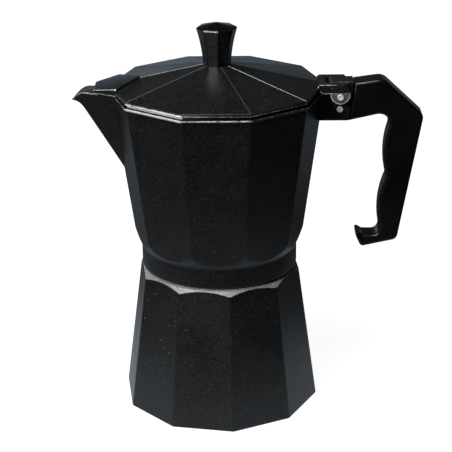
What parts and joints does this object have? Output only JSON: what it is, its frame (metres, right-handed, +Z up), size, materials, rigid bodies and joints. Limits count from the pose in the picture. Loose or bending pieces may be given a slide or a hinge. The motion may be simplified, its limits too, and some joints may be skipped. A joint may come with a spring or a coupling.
{
  "type": "moka pot",
  "caption": "Ten-sided stovetop moka pot in black with a screw-on boiler, funnel, hinged lid with a faceted knob, V spout and hooked handle.",
  "frame": {"origin": "middle of the boiler's flat base, on the pot's own axis", "axes": "+Z up along the pot's axis, +X towards the handle and the hinge, the spout on -X"},
  "size_m": [0.219, 0.1298, 0.2499],
  "materials": {
    "black_paint": "satin black with fine sparkle",
    "black_plastic": "glossy moulded",
    "bare_aluminium": "bare, lightly brushed",
    "steel": "zinc plated",
    "brass": "turned",
    "silicone": "matt",
    "red_rubber": "matt",
    "fibre": "pressed fibre"
  },
  "bodies": {
    "boiler": {"boiler": "black_paint", "valve_body": "brass", "valve_washer": "fibre", "valve_retainer": "brass", "valve_spring": "steel"},
    "valve_poppet": {"valve_poppet": "steel", "valve_seal": "red_rubber"},
    "funnel": {"funnel_cup": "bare_aluminium", "funnel_stem": "bare_aluminium", "funnel_sieve": "bare_aluminium"},
    "seal": {"gasket": "silicone", "filter_plate": "bare_aluminium"},
    "collector": {"collector": "black_paint", "handle": "black_plastic", "handle_pin": "steel", "hinge_pin": "steel"},
    "lid": {"lid": "black_paint", "knob": "black_plastic", "knob_insert": "brass", "knob_washer": "steel", "knob_screw": "steel"}
  },
  "joints": [
    {"name": "funnel_lift", "type": "slide", "parent": "boiler", "child": "funnel", "axis": [0, 0, 1], "range_m": [0, 0.1]},
    {"name": "seal_rise", "type": "slide", "parent": "funnel", "child": "seal", "axis": [0, 0, 1], "range_m": [0, 0.008]},
    {"name": "collector_unscrew", "type": "hinge", "parent": "seal", "child": "collector", "pos_m": [0, 0, 0.1], "axis": [0, 0, 1], "range_deg": [0, 720]},
    {"name": "lid_hinge", "type": "hinge", "parent": "collector", "child": "lid", "pos_m": [0.076, 0, 0.2051], "axis": [0, 1, 0], "range_deg": [0, 90]},
    {"name": "valve_lift", "type": "slide", "parent": "boiler", "child": "valve_poppet", "axis": [0.1736, 0.9848, 0], "range_m": [0, 0.0012], "stiffness_N_per_m": 1500, "springref_m": -0.003, "deforming": ["valve_spring"]}
  ],
  "couplings": [
    {"joint": "seal_rise", "follows": "collector_unscrew", "m_per_rad": 0.0006366}
  ]
}
